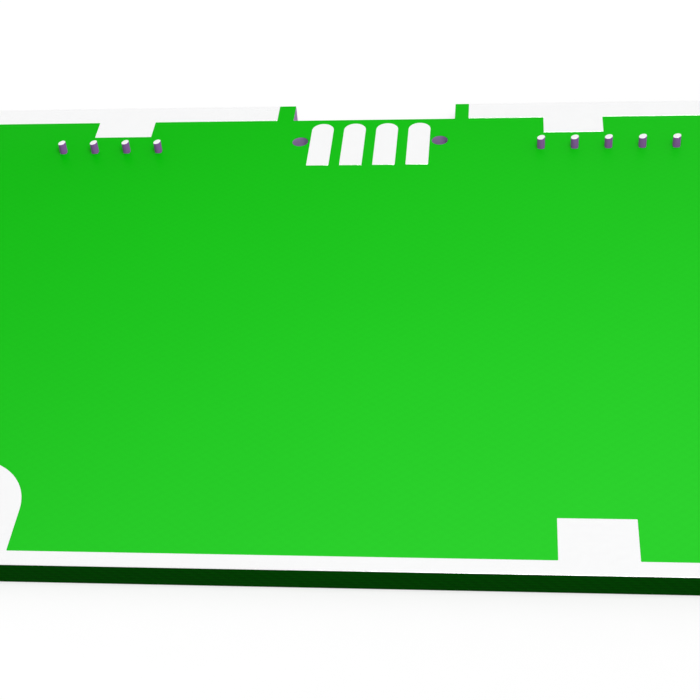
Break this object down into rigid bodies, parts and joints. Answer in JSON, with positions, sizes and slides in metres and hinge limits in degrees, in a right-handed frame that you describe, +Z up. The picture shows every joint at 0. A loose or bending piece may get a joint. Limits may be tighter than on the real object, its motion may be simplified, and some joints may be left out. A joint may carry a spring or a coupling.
{
  "type": "printed circuit board",
  "caption": "Flat green printed circuit board with a bare tinned border and lugs, a rear connector cut-out with pads and locating holes, and rows of short pins.",
  "frame": {"origin": "middle of the board's underside", "axes": "+X along the rear edge to the right, +Y to the rear edge with the cut-out, +Z up out of the green top face"},
  "size_m": [0.065, 0.0478, 0.0026],
  "materials": {
    "laminate": "matt glass-fibre laminate with a sawn edge",
    "solder_mask": "bright green satin coat",
    "tinned_land": "bright tinned copper",
    "plating": "violet-grey metal plating",
    "pin": "violet-grey plated wire with bright clipped ends"
  },
  "bodies": {
    "root": {"laminate": "laminate", "solder_mask": "solder_mask", "border_land": "tinned_land", "cutout_plating": "plating", "left_hole_sleeve": "plating", "right_hole_sleeve": "plating", "connector_pad_1": "tinned_land", "connector_pad_2": "tinned_land", "connector_pad_3": "tinned_land", "connector_pad_4": "tinned_land", "left_pin_1": "pin", "left_pin_2": "pin", "left_pin_3": "pin", "left_pin_4": "pin", "right_pin_1": "pin", "right_pin_2": "pin", "right_pin_3": "pin", "right_pin_4": "pin", "right_pin_5": "pin", "left_solder_1": "tinned_land", "left_solder_2": "tinned_land", "left_solder_3": "tinned_land", "left_solder_4": "tinned_land", "right_solder_1": "tinned_land", "right_solder_2": "tinned_land", "right_solder_3": "tinned_land", "right_solder_4": "tinned_land", "right_solder_5": "tinned_land"}
  },
  "joints": []
}
